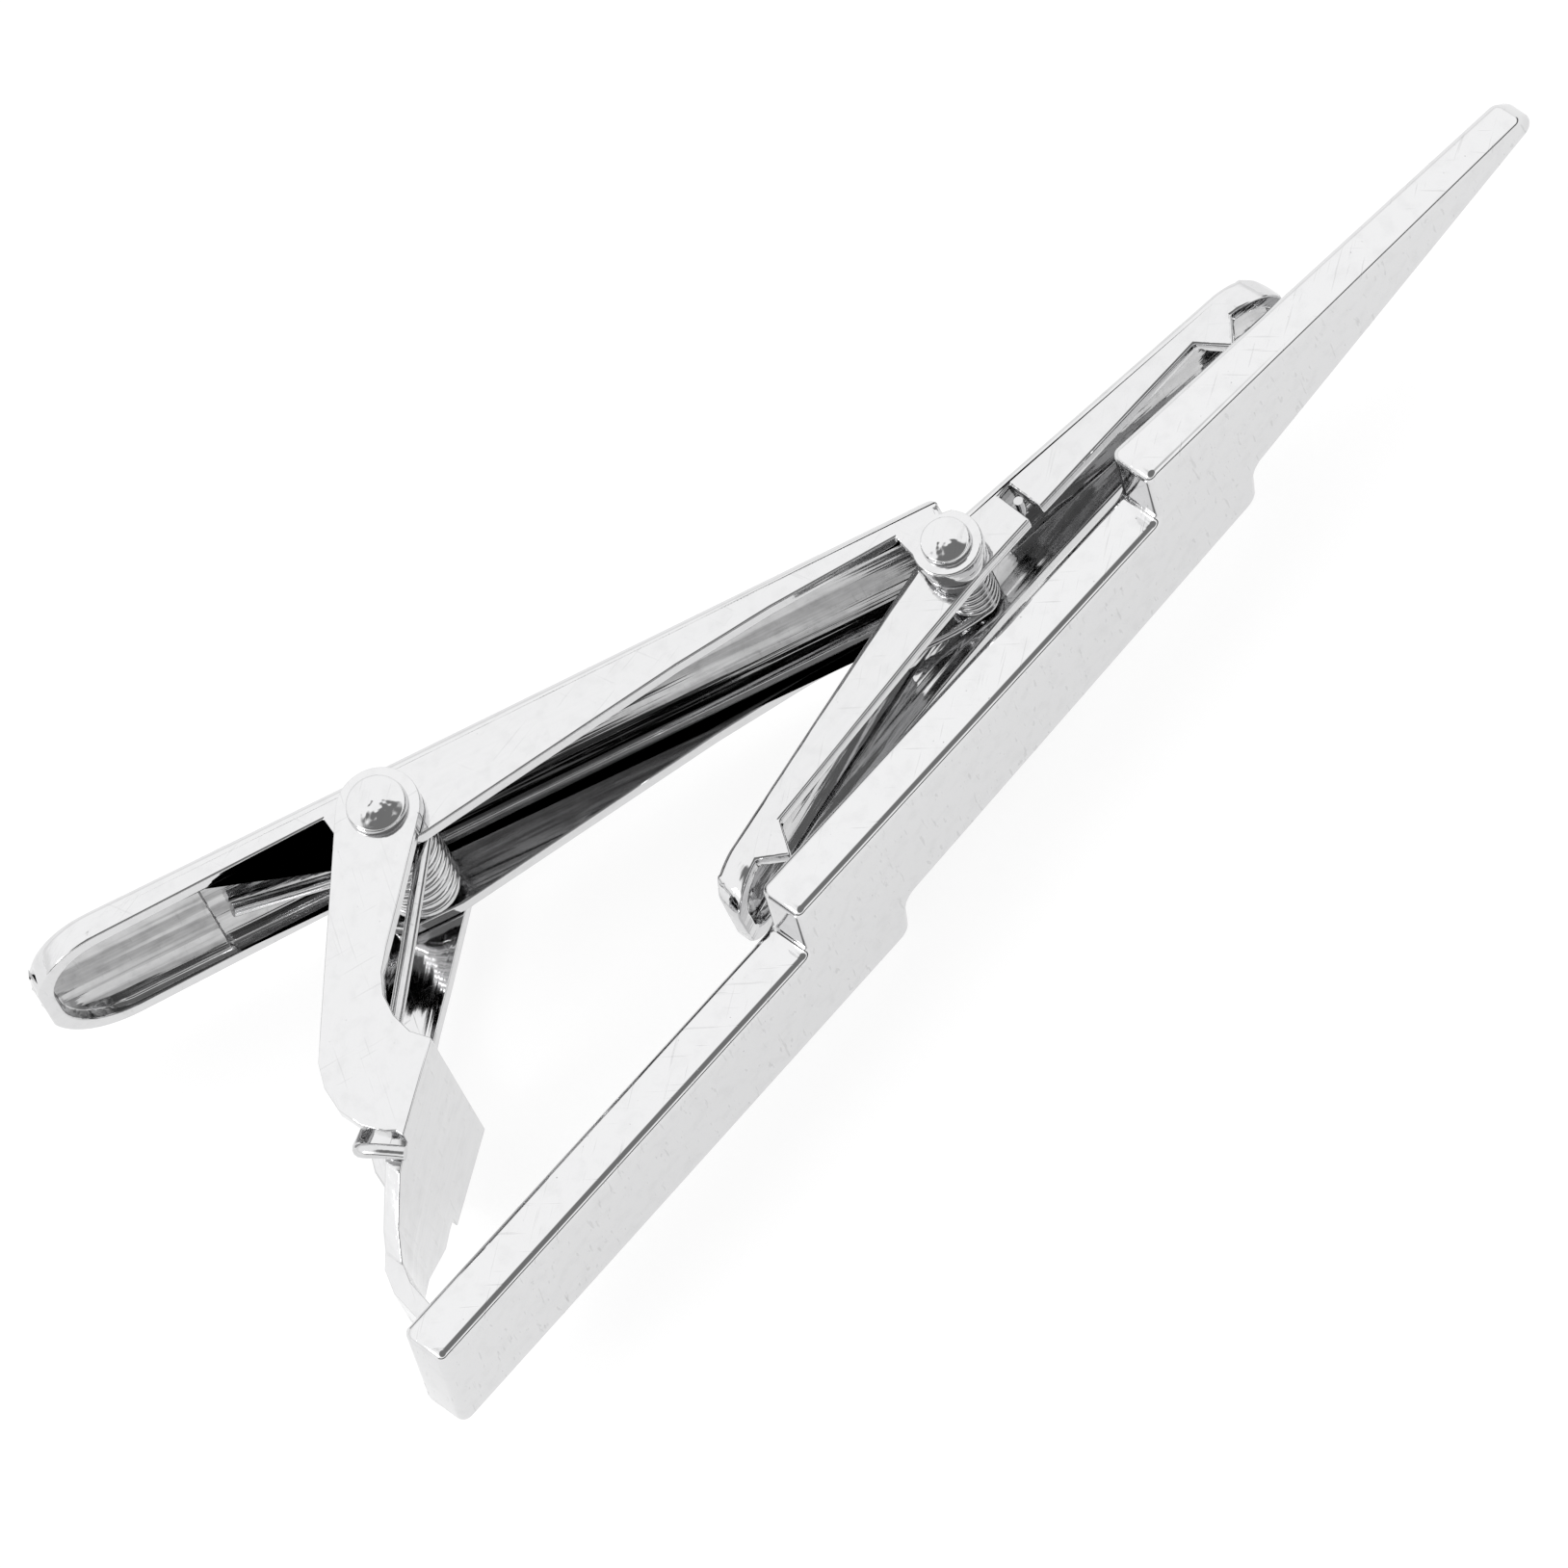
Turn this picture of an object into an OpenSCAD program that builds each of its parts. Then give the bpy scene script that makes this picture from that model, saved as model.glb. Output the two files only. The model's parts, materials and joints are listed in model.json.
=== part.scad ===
// Spring clip with a lightning-bolt front bar, lying on its long side.
// X runs from the blunt end of the bar to its tip, Y from the front face of
// the bar to the mechanism behind it, and Z is up, along both hinge pins.

/* [Bar] */
// Length of the front bar, blunt end to tip
bar_l = 58.9; // [54:0.1:64]
// Thickness of the bar
bar_t = 1.95; // [1.7:0.05:2.4]
// Thickness left at the tip
tip_t = 1.35; // [1:0.05:1.6]
// Width of the first two strokes of the bolt
stroke_w = 5.05; // [4.6:0.05:5.6]

/* [Sheet metal] */
// Sheet thickness of the bracket, lever and jaw
sheet_t = 0.62; // [0.5:0.01:0.7]
// Outside width of the lever channel
lever_w = 6.8; // [6.4:0.1:7.4]
// Outside width of the jaw channel
jaw_w = 4.3; // [4:0.1:4.6]
// Play between the lever and each bracket ear
ear_gap = 0.1; // [0.06:0.01:0.2]

/* [Pins] */
// Radius of the bracket pin's shank
pin_r = 0.5; // [0.4:0.01:0.55]
// Radius of the bracket pin's domed heads
pin_head_r = 1.1; // [0.9:0.05:1.3]
// Radius of the jaw pin's shank
jaw_pin_r = 0.45; // [0.4:0.01:0.5]
// Radius of the jaw pin's domed heads
jaw_pin_head_r = 0.9; // [0.8:0.05:1]
// Radial running clearance on the pins
run_gap = 0.04; // [0.02:0.01:0.08]

/* [Springs] */
// Wire radius of the lever spring
wire_r = 0.26; // [0.2:0.01:0.28]
// Mean coil radius of the lever spring
coil_r = 1.15; // [1.1:0.01:1.2]
// Wire radius of the jaw spring
jaw_wire_r = 0.17; // [0.14:0.01:0.18]
// Mean coil radius of the jaw spring
jaw_coil_r = 0.78; // [0.74:0.01:0.8]

/* [Pose] */
// Slope of the lever down to the jaw when the clip is shut
lever_slope = 26.8; // [24:0.1:28]
// Tilt of the jaw when its front tooth rests on the bar
jaw_tilt = 1.5; // [1:0.1:2]

/* [Hidden] */

$fn = 48;
EPS = 0.01;                     // overlap that joins two parts of one solid
chrome = [0.86, 0.87, 0.89];

// The origin is under the middle of the clip's box.
mid_x = 28.95;
mid_y = 11.136;
floor_z = 4.669;

pin = [14.22, 14.69];           // bracket pin axis
pin_dist = 21.5;                // from the bracket pin to the jaw pin
jaw_drop = 0.15;                // jaw pin below the lever's centre line

lever_top = 1.8;                // outer face of the lever's web above the pin
floor_n = lever_top - sheet_t;  // inner face of that web
tail_a = -13.6;                 // tail tip, measured along the lever
lug_r = 1.25;                   // lug round the jaw pin
lever_half = lever_w / 2;
jaw_half = jaw_w / 2;
ear_out = lever_half + ear_gap + sheet_t;

jaw_reach = 14.5;               // half length of the jaw
roof_y = 1.12;                  // outer face of the jaw's web above its pin
roof_slope = 0.147;             // fall of each arm per unit of length

// ---- frames ----
module placed() { translate([-mid_x, -mid_y, floor_z]) children(); }
module on_lever() { placed() translate(pin) rotate(-lever_slope) children(); }
module on_jaw() {
    on_lever() translate([pin_dist, -jaw_drop]) rotate(lever_slope - jaw_tilt) children();
}

// A flat outline in XY made into a plate centred on the mid plane or standing off it.
module plate(half) { translate([0, 0, -half]) linear_extrude(2 * half) children(); }
module pair(outer, t) {
    for (z = [outer - t, -outer]) translate([0, 0, z]) linear_extrude(t) children();
}
// A flat outline in XZ, extruded upwards in Y from y0 by h.
module plan(y0, h) { translate([0, y0 + h, 0]) rotate([90, 0, 0]) linear_extrude(h) children(); }

// ---- bar ----
// Steps of the bolt: the near edge steps up first, the far edge about 4 mm later.
near_end_1 = [19.3, 1.0];
near_start_2 = [19.6, 3.75];
near_end_2 = [38.6, 1.5];
near_start_3 = [38.95, 4.45];
far_end_1 = [23.1, -4.3];
far_start_2 = [23.5, -2.4];
far_end_2 = [42.4, -3.6];
far_start_3 = [42.8, -1.85];
tip_x = bar_l - 0.5;            // the blunt end stands at x = -0.5 to 0
tip_z = -1.2;

module bolt_outline() {
    polygon([
        [-0.5, 3.07 - stroke_w], [0, 3.07], near_end_1, near_start_2, near_end_2, near_start_3,
        [tip_x - 1.0, tip_z + 0.8], [tip_x - 0.3, tip_z + 0.5], [tip_x, tip_z],
        [tip_x - 0.3, tip_z - 0.4], [tip_x - 1.1, tip_z - 0.6],
        far_start_3, far_end_2, far_start_2, far_end_1
    ]);
}

module bolt_bar() {
    color(chrome) placed() difference() {
        plan(0, bar_t) bolt_outline();
        // the back thins towards the tip
        plate(10) polygon([
            [near_start_3.x, bar_t], [tip_x + 1, tip_t - 0.03], [tip_x + 1, bar_t + 1],
            [near_start_3.x, bar_t + 1]
        ]);
    }
}

// ---- hinge bracket ----
foot_x = 1.55;
bend_x = 5.4;                   // where the ears start
web_end_x = 8.75;
web_half = ear_out - sheet_t;
foot_half = 1.7;
fold_a = [5.6, 6.097];          // ends of the fold between the web and each ear
fold_b = [web_end_x, 7.55];

module ear_outline() {
    difference() {
        union() {
            translate(pin) circle(1.5);
            polygon([
                [13.32, 15.89], [5.75, 10.25], [5.15, 9.45], [4.82, 8.5], [4.85, 7.5],
                [5.15, 6.65], fold_a, fold_b, [8.5, 8.35], [8.62, 9.2],
                [9.0, 10.0], [9.6, 10.6], [10.4, 11.05], [12.2, 11.95], [14.9, 13.35]
            ]);
        }
        translate(pin) circle(pin_r);
    }
}

// The web runs from between the ears down to the back of the bar.
module web_band() {
    polygon([
        fold_b, fold_a, [5.0, 5.82], [3.0, 4.72], [2.25, 4.1], [1.85, 3.4],
        [foot_x, bar_t], [foot_x - 0.66, bar_t], [1.2, 3.62], [1.68, 4.45],
        [2.68, 5.25], [4.72, 6.38], [web_end_x - 0.27, 8.11]
    ]);
}

module web_plan() {
    polygon([
        [0, -foot_half], [2.2, -foot_half], [4.4, -web_half], [bend_x, -web_half],
        [bend_x, -ear_out], [10, -ear_out], [10, ear_out], [bend_x, ear_out],
        [bend_x, web_half], [4.4, web_half], [2.2, foot_half], [0, foot_half]
    ]);
}

module hinge_bracket() {
    color(chrome) placed() union() {
        intersection() {
            plate(ear_out) web_band();
            plan(0, 12) web_plan();
        }
        pair(ear_out, sheet_t) ear_outline();
    }
}

// A run of solder on each side of the bracket's foot.
module solder_joint() {
    color(chrome) placed() plate(foot_half - 0.1) {
        polygon([[foot_x, bar_t], [foot_x + 0.08, bar_t + 0.42], [foot_x + 0.25, bar_t + 0.2],
                 [foot_x + 0.55, bar_t]]);
        polygon([[foot_x - 0.66, bar_t], [foot_x - 0.6, bar_t + 0.3], [foot_x - 0.9, bar_t + 0.14],
                 [foot_x - 1.1, bar_t]]);
    }
}

// ---- pins ----
// A domed head on the end of a shank, standing on the plane z = 0.
module dome(r, h) {
    ball = (r * r + h * h) / (2 * h);
    rotate_extrude($fn = 64) intersection() {
        translate([0, h - ball]) circle(ball, $fn = 96);
        square([r, h]);
    }
}

module rivet(shank_r, half, head_r, head_h) {
    translate([0, 0, -half]) cylinder(h = 2 * half, r = shank_r);
    for (s = [0, 1]) mirror([0, 0, s]) translate([0, 0, half - EPS / 10]) dome(head_r, head_h);
}

module bracket_pin() {
    color(chrome) placed() translate(pin) rivet(pin_r, ear_out, pin_head_r, 0.55);
}

module jaw_pin() {
    color(chrome) on_lever() translate([pin_dist, -jaw_drop])
        rivet(jaw_pin_r, lever_half, jaw_pin_head_r, 0.5);
}

// A plain washer on the jaw pin each side of the jaw.
spacer_t = lever_half - sheet_t - jaw_half - 0.08;
module jaw_spacers() {
    color(chrome) on_lever() translate([pin_dist, -jaw_drop])
        for (s = [0, 1]) mirror([0, 0, s]) translate([0, 0, jaw_half + 0.04]) difference() {
            cylinder(h = spacer_t, r = 1.15);
            translate([0, 0, -1]) cylinder(h = spacer_t + 2, r = jaw_pin_r + run_gap);
        }
}

// ---- lever ----
module lever_outline() {
    difference() {
        union() {
            polygon([
                [tail_a + 0.35, lever_top], [tail_a, lever_top - 0.5], [tail_a + 0.1, 0.55],
                [tail_a + 2, 0.62], [-1.9, 0.86], [-1.6, -1.0], [-1.1, -1.35], [1.0, -1.35],
                [4.2, -0.86], [7.4, -0.38], [11.3, 0.2], [15.1, 0.62], [20.0, 0.92],
                [pin_dist - lug_r + 0.03, 0], [pin_dist, -jaw_drop], [pin_dist + 0.3, 0],
                [pin_dist + 0.3, lever_top]
            ]);
            translate([pin_dist, -jaw_drop]) circle(lug_r);
        }
        circle(pin_r + run_gap);
        translate([pin_dist, -jaw_drop]) circle(jaw_pin_r);
    }
}

// Outline of the lever seen from behind, with a round tail.
tail_r = 2.9;
module lever_plan(inset) {
    half = lever_half - inset;
    r = tail_r - inset;
    for (s = [-1, 1]) translate([tail_a + tail_r, s * (lever_half - tail_r)]) circle(r);
    translate([tail_a + tail_r, -half]) square([40, 2 * half]);
    translate([tail_a + inset, -(lever_half - tail_r)]) square([tail_r, 2 * (lever_half - tail_r)]);
}

step_a = -6.9;                  // edge of the pressed thumb rest inside the tail
module lever_channel() {
    color(chrome) on_lever() {
        difference() {
            intersection() {
                plate(lever_half) lever_outline();
                plan(-4, 8) lever_plan(0);
            }
            plan(-4, 4 + floor_n) lever_plan(sheet_t);
        }
        // thumb rest, pressed in from the back
        intersection() {
            plan(floor_n - 0.18, 0.18 + EPS) lever_plan(sheet_t - EPS);
            plan(0, 2) translate([tail_a, -5]) square([step_a - tail_a, 10]);
        }
    }
}

// ---- jaw ----
function roof(x) = roof_y - roof_slope * abs(x);
// An outline that starts and ends on x = 0, with its mirror image joined to it.
function both_ways(half) = concat(half, [for (i = [len(half) - 2:-1:1]) [-half[i].x, half[i].y]]);
module jaw_outline() {
    polygon(both_ways([
        [0, roof(0)], [12.9, roof(12.9)], [13.7, roof(13.9)], [14.25, -1.3], [jaw_reach, -1.9],
        [14.4, -2.35], [12.6, -1.85], [11.75, -2.7], [11.0, -1.52], [3.2, -1.22], [0, -1.15]
    ]));
}
module jaw_hollow() {
    inner = jaw_reach - sheet_t;
    polygon(both_ways([
        [0, roof(0) - sheet_t], [12.7, roof(12.7) - sheet_t], [13.3, -1.55],
        [inner, -1.95], [inner, -4], [0, -4]
    ]));
}
module jaw_plan(inset) {
    half = jaw_half - inset;
    r = 1.7 - inset;
    for (sx = [-1, 1], sz = [-1, 1])
        translate([sx * (jaw_reach - 1.7), sz * (jaw_half - 1.7)]) circle(r);
    translate([-(jaw_reach - 1.7), -half]) square([2 * (jaw_reach - 1.7), 2 * half]);
    translate([-(jaw_reach - inset), -(jaw_half - 1.7)])
        square([2 * (jaw_reach - inset), 2 * (jaw_half - 1.7)]);
}

module rocking_jaw() {
    color(chrome) on_jaw() difference() {
        intersection() {
            plate(jaw_half) jaw_outline();
            plan(-4, 6) jaw_plan(0);
        }
        intersection() {
            plate(jaw_half) jaw_hollow();
            plan(-5, 7) jaw_plan(sheet_t);
        }
        // window in the web for the spring's coil and its lever leg
        plan(0, 3) translate([-4.7, -jaw_half + sheet_t]) square([6.8, jaw_w - 2 * sheet_t]);
        // hole for the pin
        translate([0, 0, -5]) cylinder(h = 10, r = jaw_pin_r + run_gap);
        // slot for the spring's hooked end
        translate([2.65, -2, 0]) cube([0.55, 2.25, 5]);
    }
}

// ---- springs ----
function unit(v) = v / norm(v);
function ring(p, t, r, n) =
    let (u = unit(cross(t, [0, 0, 1])), v = cross(u, t))
    [for (i = [0:n - 1]) p + r * (cos(360 * i / n) * u + sin(360 * i / n) * v)];

// A round wire swept along a list of points.
module wire(path, r, n = 8) {
    m = len(path);
    tangent = [for (i = [0:m - 1]) unit(path[min(i + 1, m - 1)] - path[max(i - 1, 0)])];
    points = [for (i = [0:m - 1]) each ring(path[i], tangent[i], r, n)];
    sides = [for (i = [0:m - 2], k = [0:n - 1])
        [i * n + k, i * n + (k + 1) % n, (i + 1) * n + (k + 1) % n, (i + 1) * n + k]];
    polyhedron(points = points, convexity = 10, faces = concat(
        [[for (k = [0:n - 1]) n - 1 - k]], sides, [[for (k = [0:n - 1]) (m - 1) * n + k]]
    ));
}

// Turns of a coil about [cx, cy], from angle a0 at height z0 to a1 at z1.
function coil(c, r, a0, a1, z0, z1, per_turn = 18) =
    let (n = ceil(abs(a1 - a0) / 360 * per_turn))
    [for (i = [0:n]) let (a = a0 + (a1 - a0) * i / n)
        [c.x + r * cos(a), c.y + r * sin(a), z0 + (z1 - z0) * i / n]];

// The coil lies loose on the pin, pressed away from the lever's web.
coil_off = 0.3;
coil_z = 2.2;
module lever_spring() {
    c = [coil_off * sin(-lever_slope), -coil_off * cos(lever_slope)] + pin;
    start_a = -59.5;
    end_a = 90 - lever_slope + 360 * 7;
    back = [-cos(lever_slope), sin(lever_slope), 0];
    last = [c.x + coil_r * cos(end_a), c.y + coil_r * sin(end_a), -coil_z];
    color(chrome) placed() wire(concat(
        [[5.0, 5.65, 3.85], [4.78, 6.05, 3.85], [4.45, 6.6, 3.85], [4.22, 7.02, 3.72],
         [4.25, 7.3, 3.4], [4.6, 7.5, 3.1], [5.3, 7.85, 2.8], [6.4, 8.42, 2.45], [8.5, 9.63, 2.25]],
        coil(c, coil_r, start_a, end_a, coil_z, -coil_z),
        [last + 2.5 * back + [0, 0, 1.0], last + 6.2 * back + [0, 0, 2.4]]
    ), wire_r);
}

module jaw_spring() {
    zc = 1.1;
    r = jaw_coil_r;
    a0 = -95;
    a1 = -82 + 360 * 6;
    color(chrome) on_jaw() wire(concat(
        [[-5.3, 1.2, -0.5], [-3.0, 0.19, -0.75], [-1.2, -0.52, -1.0]],
        coil([0, 0], r, a0, a1, -zc, zc),
        [[1.2, -0.62, 1.15], [2.5, -0.48, 1.2], [2.85, -0.44, 1.35], [2.92, -0.43, 1.7],
         [2.93, -0.4, 2.1]]
    ), jaw_wire_r);
}

bolt_bar();
hinge_bracket();
solder_joint();
bracket_pin();
lever_spring();
lever_channel();
jaw_pin();
jaw_spacers();
jaw_spring();
rocking_jaw();
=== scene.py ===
# %% [markdown]
# # A spring clip in bright chrome
#
# A cast bar shaped as a lightning bolt carries a folded bracket, a channel lever that you press with a
# thumb, and a small channel jaw that rocks on the lever's end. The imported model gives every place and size
# here. Each piece is a refined copy of its plain solid: the folds get their bend radius and the edges their
# polish, because a mirror finish shows nothing but its edges and what they reflect.

# %% Load the frame
import json
import math

import bmesh
import bpy
from mathutils import Matrix, Vector, noise
from mathutils.bvhtree import BVHTree


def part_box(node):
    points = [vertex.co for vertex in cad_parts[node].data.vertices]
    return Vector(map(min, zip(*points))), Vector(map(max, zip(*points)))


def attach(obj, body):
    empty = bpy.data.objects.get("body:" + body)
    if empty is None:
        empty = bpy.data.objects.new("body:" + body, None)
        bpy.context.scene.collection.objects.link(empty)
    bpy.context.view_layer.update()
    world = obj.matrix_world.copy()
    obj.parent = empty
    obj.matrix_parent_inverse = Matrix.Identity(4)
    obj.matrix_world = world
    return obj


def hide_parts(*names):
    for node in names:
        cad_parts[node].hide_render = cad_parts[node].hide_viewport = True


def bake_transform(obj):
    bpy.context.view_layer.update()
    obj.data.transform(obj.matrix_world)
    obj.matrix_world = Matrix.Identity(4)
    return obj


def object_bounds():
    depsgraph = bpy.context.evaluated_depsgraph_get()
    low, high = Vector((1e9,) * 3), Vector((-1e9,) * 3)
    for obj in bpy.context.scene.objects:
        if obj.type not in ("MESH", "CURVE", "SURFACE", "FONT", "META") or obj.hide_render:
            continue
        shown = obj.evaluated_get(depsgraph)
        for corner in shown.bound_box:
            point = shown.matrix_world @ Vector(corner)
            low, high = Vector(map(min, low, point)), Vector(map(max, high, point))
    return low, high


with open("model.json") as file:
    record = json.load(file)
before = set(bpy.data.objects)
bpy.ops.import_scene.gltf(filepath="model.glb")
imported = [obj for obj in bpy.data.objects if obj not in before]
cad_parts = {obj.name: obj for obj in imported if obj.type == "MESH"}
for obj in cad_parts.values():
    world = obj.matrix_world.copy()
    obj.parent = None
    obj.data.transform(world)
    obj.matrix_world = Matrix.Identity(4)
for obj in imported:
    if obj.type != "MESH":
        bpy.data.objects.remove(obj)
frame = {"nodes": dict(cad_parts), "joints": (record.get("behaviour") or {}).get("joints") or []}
cad_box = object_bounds()
MM = 0.001
joints = {j["name"]: j for j in frame["joints"]}
lever_pin = Vector(joints["lever_hinge"]["pos_m"])
jaw_pin_at = Vector(joints["jaw_rock"]["pos_m"])
mid_z = lever_pin.z
lever_line = (jaw_pin_at - lever_pin).normalized()
print("bracket pin", lever_pin, "jaw pin", jaw_pin_at)

# %% [markdown]
# ## The camera
#
# The clip lies on its long side. A long lens a metre away keeps the sides nearly parallel, as in a
# catalogue. The camera looks down on the near long side and a little on the front face, and it is rolled so
# that the bar climbs from lower left to upper right. Building its three axes by hand keeps the roll plain
# to read.

# %% Camera
AZIMUTH = math.radians(23.62)
ELEVATION = math.radians(63.62)
ROLL = math.radians(-28.93)
DISTANCE = 1.0
LENS = 667.0
TARGET = Vector((-4.76, -5.036, 2.949)) * MM


def look(azimuth, elevation, roll, target, distance, lens):
    into = Vector((
        math.sin(azimuth) * math.cos(elevation),
        math.cos(azimuth) * math.cos(elevation),
        -math.sin(elevation),
    ))
    level = into.cross(Vector((0, 0, 1))).normalized()
    rise = level.cross(into)
    right = math.cos(roll) * level + math.sin(roll) * rise
    up = right.cross(into)
    camera = bpy.data.objects.new("camera", bpy.data.cameras.new("camera"))
    bpy.context.scene.collection.objects.link(camera)
    camera.data.lens = lens
    camera.data.clip_start = 0.01
    camera.data.clip_end = 20
    turn = Matrix((right, up, -into)).transposed().to_4x4()
    camera.matrix_world = Matrix.Translation(target - distance * into) @ turn
    bpy.context.scene.camera = camera
    return camera


camera = look(AZIMUTH, ELEVATION, ROLL, TARGET, DISTANCE, LENS)
print("camera at", camera.matrix_world.translation)

# %% [markdown]
# ## Shader sums in plain Python
#
# A node tree is easier to read as a sum than as boxes. This small class wraps a socket, so that `1 - mask *
# 0.5` adds the Math nodes by itself. One method adds any other node, with its settings and its inputs.

# %% A socket that does sums


class Sum:
    def __init__(self, tree, socket):
        self.tree = tree
        self.socket = socket

    def math(self, operation, a, b):
        return node(self.tree, "ShaderNodeMath", {"operation": operation}, {0: a, 1: b})

    def __add__(self, other):
        return self.math("ADD", self, other)

    def __radd__(self, other):
        return self.math("ADD", other, self)

    def __sub__(self, other):
        return self.math("SUBTRACT", self, other)

    def __rsub__(self, other):
        return self.math("SUBTRACT", other, self)

    def __mul__(self, other):
        return self.math("MULTIPLY", self, other)

    def __rmul__(self, other):
        return self.math("MULTIPLY", other, self)

    def above(self, low, high):
        settings = {"interpolation_type": "SMOOTHSTEP"}
        return node(self.tree, "ShaderNodeMapRange", settings, {0: self, 1: low, 2: high, 3: 0.0, 4: 1.0})


def node(tree, kind, settings=None, inputs=None, output=0):
    made = tree.nodes.new(kind)
    for name, value in (settings or {}).items():
        setattr(made, name, value)
    for name, value in (inputs or {}).items():
        if isinstance(value, Sum):
            tree.links.new(value.socket, made.inputs[name])
        else:
            made.inputs[name].default_value = value
    return Sum(tree, made.outputs[output]) if len(made.outputs) else None


# %% [markdown]
# ## Chrome
#
# Bright chrome is a thin hard mirror with a faint grey of its own. The colour here gives back about seven
# tenths of the light, so after four or five bounces inside a channel about a fifth is left. A polished
# casting under the plate is never quite flat, so a slow swell bends the reflections a little. On top lie a
# few fine scratches, some pin-prick pits and a haze of polish that is thicker in places. Stamped sheet also
# keeps long draw lines from the rolling mill, which run along the strip. Wear shows first along the edges,
# as a slightly rougher line.
#
# Each face also carries a recess shade value: how much of the room the piece's own walls hide from it, or
# full on faces picked as fully inside. It greys the inside of a channel, in cloudy patches and in streaks
# along the draw lines. This is painted shade, and the streaks are painted reflection, in the colour. Real
# chrome isn't greyer there, so take it out before you use the metal under a very different light.

# %% Chrome material
PER_MM = 1000.0          # Object coordinates are in metres, and the pattern scales are per millimetre
BUMP_DEPTH = 0.00005     # metres
# WORN_AND_SHADED is the share of the tint kept by a worn spot, and by a spot with full painted shade.
WORN_AND_SHADED = 0.38              # how much of the tint a worn or hidden spot keeps


def chrome(name, tint, rough, swell=0.4, scratches=0.5, pits=0.5, lines=0.0, slope=0.0, seed=0.0):
    material = bpy.data.materials.new(name)
    material.use_nodes = True
    tree = material.node_tree
    tree.nodes.clear()
    place = node(tree, "ShaderNodeTexCoord", output=3)

    def pattern(kind, scale, turn=0.0, stretch=(1, 1, 1), detail=2.0):
        spot = node(tree, "ShaderNodeMapping", {"vector_type": "TEXTURE"}, {
            "Vector": place, "Location": (seed * MM, 0, 0), "Rotation": (0, 0, turn), "Scale": stretch,
        })
        inputs = {"Vector": spot, "Scale": scale * PER_MM}
        if kind == "ShaderNodeTexNoise":
            inputs["Detail"] = detail
        return node(tree, kind, None, inputs)

    slow = pattern("ShaderNodeTexNoise", 0.28, detail=1.0)
    cloud = pattern("ShaderNodeTexNoise", 1.6, detail=4.0)
    speck = pattern("ShaderNodeTexNoise", 9.0, detail=2.0)
    drag_a = pattern("ShaderNodeTexNoise", 9.0, turn=slope + 0.5, stretch=(26, 1, 6))
    drag_b = pattern("ShaderNodeTexNoise", 7.0, turn=slope - 0.9, stretch=(18, 1, 9))
    mill = pattern("ShaderNodeTexNoise", 6.0, turn=slope, stretch=(60, 1, 1.5))
    draw = pattern("ShaderNodeTexNoise", 1.1, turn=slope, stretch=(22, 1, 1), detail=3.0)
    grain = pattern("ShaderNodeTexVoronoi", 2.2)
    scratch = drag_a.above(0.645, 0.72) + drag_b.above(0.655, 0.73)
    pit = (1 - grain.above(0.03, 0.10)) * speck.above(0.5, 0.62)
    edge = node(tree, "ShaderNodeNewGeometry", output=7).above(0.515, 0.60)
    haze = cloud.above(0.45, 0.75)

    # The recess shade attribute is painted shade: below, it greys the colour of faces the walls hide.
    recess_shade = node(tree, "ShaderNodeAttribute", {"attribute_name": "recess_shade"}, output=2)
    height = (slow * swell + cloud * (swell * 0.035) + mill * (lines * 0.05)
              + draw * (1 + recess_shade * 1.6) * (lines * 1.1)
              - scratch * (scratches * 0.012) - pit * (pits * 0.05))
    bump = node(tree, "ShaderNodeBump", None, {"Strength": 1.0, "Distance": BUMP_DEPTH, "Height": height})
    roughness = (rough + haze * (rough * 0.9) + scratch * (scratches * 0.10)
                 + pit * (pits * 0.25) + edge * 0.03 + recess_shade * 0.05)
    # Dulls the colour for real haze, scratches, pits and mill lines, and adds painted shade and painted
    # streaky reflection where the recess shade is high.
    dull_and_shade = 1 - (haze * 0.07 + scratch * (scratches * 0.16) + pit * (pits * 0.5) + mill * (lines * 0.06)
                + recess_shade * (0.15 + cloud * 0.4 + draw.above(0.44, 0.57) * (lines * 0.5)))
    colour = node(tree, "ShaderNodeMix", {"data_type": "RGBA", "blend_type": "MIX"}, {
        "Factor": dull_and_shade, 6: tuple(WORN_AND_SHADED * c for c in tint) + (1,), 7: tuple(tint) + (1,),
    }, output=2)
    shader = node(tree, "ShaderNodeBsdfPrincipled", None, {
        "Base Color": colour, "Metallic": 1.0, "Roughness": roughness, "Normal": bump,
    })
    node(tree, "ShaderNodeOutputMaterial", None, {"Surface": shader})
    return material


lever_turn = math.atan2(lever_line.y, lever_line.x)
cast_chrome = chrome("cast_chrome", (0.70, 0.70, 0.705), 0.045, swell=0.35, scratches=1.1, pits=1.2, seed=3)
lever_chrome = chrome("lever_chrome", (0.70, 0.70, 0.705), 0.05, swell=0.3, scratches=0.5, pits=0.3,
                      lines=1.0, slope=lever_turn, seed=11)
jaw_chrome = chrome("jaw_chrome", (0.69, 0.69, 0.695), 0.05, swell=0.3, scratches=0.5, pits=0.3,
                    lines=1.0, seed=17)
bracket_chrome = chrome("bracket_chrome", (0.70, 0.70, 0.705), 0.045, swell=0.35, scratches=0.6, pits=0.4,
                        lines=0.5, slope=0.5, seed=23)
pin_chrome = chrome("pin_chrome", (0.69, 0.69, 0.695), 0.06, swell=0.9, scratches=0.6, pits=1.0, seed=29)
wire_chrome = chrome("wire_chrome", (0.62, 0.62, 0.625), 0.12, swell=0.3, scratches=0.8, pits=0.3,
                     lines=0.5, seed=31)
solder_chrome = chrome("solder_chrome", (0.62, 0.62, 0.63), 0.16, swell=2.5, scratches=0.2, pits=1.0, seed=37)
print("chromes:", [m.name for m in bpy.data.materials])

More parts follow.
